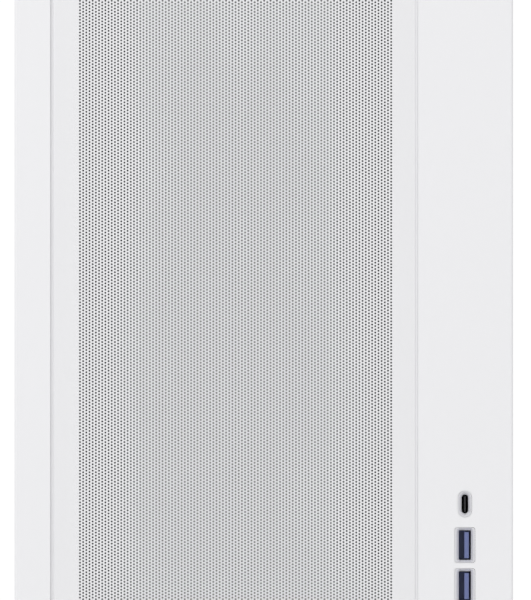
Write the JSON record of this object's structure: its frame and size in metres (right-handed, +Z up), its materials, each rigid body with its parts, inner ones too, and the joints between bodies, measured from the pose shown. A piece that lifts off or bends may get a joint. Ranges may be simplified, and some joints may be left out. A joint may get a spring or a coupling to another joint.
{
  "type": "desktop computer tower",
  "caption": "White desktop computer tower with a perforated front insert, an offset port column, removable covers, fans and fitted boards inside.",
  "frame": {"origin": "centre of the case's footprint, on the surface that it stands on", "axes": "+Z up, front faces -Y, +X to the right as seen from the front"},
  "size_m": [0.21, 0.42, 0.39],
  "materials": {
    "white_plastic": "fine matte moulding",
    "white_steel": "satin powder coat",
    "filter_mesh": "fine nylon mesh",
    "dark_plastic": "matte moulding",
    "grey_plastic": "satin moulding",
    "rubber": "matte",
    "black_steel": "textured powder coat",
    "bright_metal": "nickel plate",
    "brass": "bright",
    "copper": "polished copper",
    "aluminium": "satin",
    "circuit_board": "solder mask",
    "blue_plastic": "satin moulding",
    "light_ring": "translucent",
    "cable_sleeve": "braided sleeve"
  },
  "bodies": {
    "case": {"front_frame": "white_plastic", "case_feet": "white_plastic", "foot_pads": "rubber", "base_pan": "white_steel", "rear_panel": "white_steel", "motherboard_tray": "white_steel", "psu_shroud": "white_steel", "front_chassis_plate": "white_steel", "top_chassis_plate": "white_steel", "panel_clips": "dark_plastic", "psu_housing": "black_steel", "psu_fan_frame": "dark_plastic", "psu_fan_grille": "bright_metal", "psu_circuit": "circuit_board", "psu_inlet": "dark_plastic", "inlet_pins": "bright_metal", "rear_screws": "bright_metal", "motherboard": "circuit_board", "board_standoffs": "brass", "board_screws": "bright_metal", "rear_io_ports": "bright_metal", "io_shield": "bright_metal", "board_sockets": "dark_plastic", "processor": "bright_metal", "cooler_base": "copper", "cooler_fins": "aluminium", "cooler_fan_frame": "dark_plastic", "memory_modules": "aluminium", "board_heatsinks": "aluminium", "graphics_board": "circuit_board", "graphics_heatsink": "aluminium", "graphics_shroud": "dark_plastic", "graphics_bracket": "bright_metal", "slot_covers": "white_steel", "case_fan_frames": "dark_plastic", "fan_screws": "bright_metal", "solid_state_drive": "aluminium", "front_io_board": "circuit_board", "usb_shells": "bright_metal", "usb_a_inserts": "blue_plastic", "usb_c_insert": "dark_plastic", "audio_jack": "dark_plastic", "power_light_ring": "light_ring", "internal_cables": "cable_sleeve"},
    "front_insert": {"front_mesh_panel": "white_steel", "front_filter": "filter_mesh"},
    "left_panel": {"left_side_panel": "white_steel"},
    "right_panel": {"right_side_panel": "white_steel"},
    "top_lid": {"top_cover": "white_steel"},
    "filter_drawer": {"base_filter": "dark_plastic"},
    "upper_intake_rotor": {"front_fan_rotor_upper": "grey_plastic"},
    "lower_intake_rotor": {"front_fan_rotor_lower": "grey_plastic"},
    "exhaust_rotor": {"rear_fan_rotor": "grey_plastic"},
    "cooler_rotor": {"cooler_fan_rotor": "grey_plastic"},
    "supply_rotor": {"psu_fan_rotor": "dark_plastic"},
    "card_rotor_front": {"graphics_fan_front": "grey_plastic"},
    "card_rotor_rear": {"graphics_fan_rear": "grey_plastic"},
    "power_key": {"power_button": "white_plastic"},
    "reset_key": {"reset_button": "white_plastic"},
    "supply_rocker": {"psu_rocker": "dark_plastic"}
  },
  "joints": [
    {"name": "front_insert_pull", "type": "slide", "parent": "case", "child": "front_insert", "axis": [0, -1, 0], "range_m": [0, 0.06]},
    {"name": "left_panel_pull", "type": "slide", "parent": "case", "child": "left_panel", "axis": [-1, 0, 0], "range_m": [0, 0.08]},
    {"name": "right_panel_pull", "type": "slide", "parent": "case", "child": "right_panel", "axis": [1, 0, 0], "range_m": [0, 0.08]},
    {"name": "top_cover_lift", "type": "slide", "parent": "case", "child": "top_lid", "axis": [0, 0, 1], "range_m": [0, 0.06]},
    {"name": "base_filter_pull", "type": "slide", "parent": "case", "child": "filter_drawer", "axis": [0, 1, 0], "range_m": [0, 0.14]},
    {"name": "power_press", "type": "slide", "parent": "case", "child": "power_key", "axis": [0, 1, 0], "range_m": [0, 0.0015], "stiffness_N_per_m": 600},
    {"name": "reset_press", "type": "slide", "parent": "case", "child": "reset_key", "axis": [0, 1, 0], "range_m": [0, 0.001], "stiffness_N_per_m": 500},
    {"name": "upper_intake_spin", "type": "hinge", "parent": "case", "child": "upper_intake_rotor", "pos_m": [-0.0123, -0.18, 0.3], "axis": [0, 1, 0], "continuous": true},
    {"name": "lower_intake_spin", "type": "hinge", "parent": "case", "child": "lower_intake_rotor", "pos_m": [-0.0123, -0.18, 0.178], "axis": [0, 1, 0], "continuous": true},
    {"name": "exhaust_spin", "type": "hinge", "parent": "case", "child": "exhaust_rotor", "pos_m": [-0.028, 0.182, 0.305], "axis": [0, 1, 0], "continuous": true},
    {"name": "cooler_spin", "type": "hinge", "parent": "case", "child": "cooler_rotor", "pos_m": [-0.022, 0.07, 0.281], "axis": [0, 1, 0], "continuous": true},
    {"name": "supply_spin", "type": "hinge", "parent": "case", "child": "supply_rotor", "pos_m": [0, 0.137, 0.014], "axis": [0, 0, 1], "continuous": true},
    {"name": "card_front_spin", "type": "hinge", "parent": "case", "child": "card_rotor_front", "pos_m": [0.013, 0.024, 0.142], "axis": [0, 0, 1], "continuous": true},
    {"name": "card_rear_spin", "type": "hinge", "parent": "case", "child": "card_rotor_rear", "pos_m": [0.013, 0.132, 0.142], "axis": [0, 0, 1], "continuous": true},
    {"name": "supply_switch_rock", "type": "hinge", "parent": "case", "child": "supply_rocker", "pos_m": [0.045, 0.2034, 0.0495], "axis": [0, 0, 1], "range_deg": [-20, 0]}
  ]
}
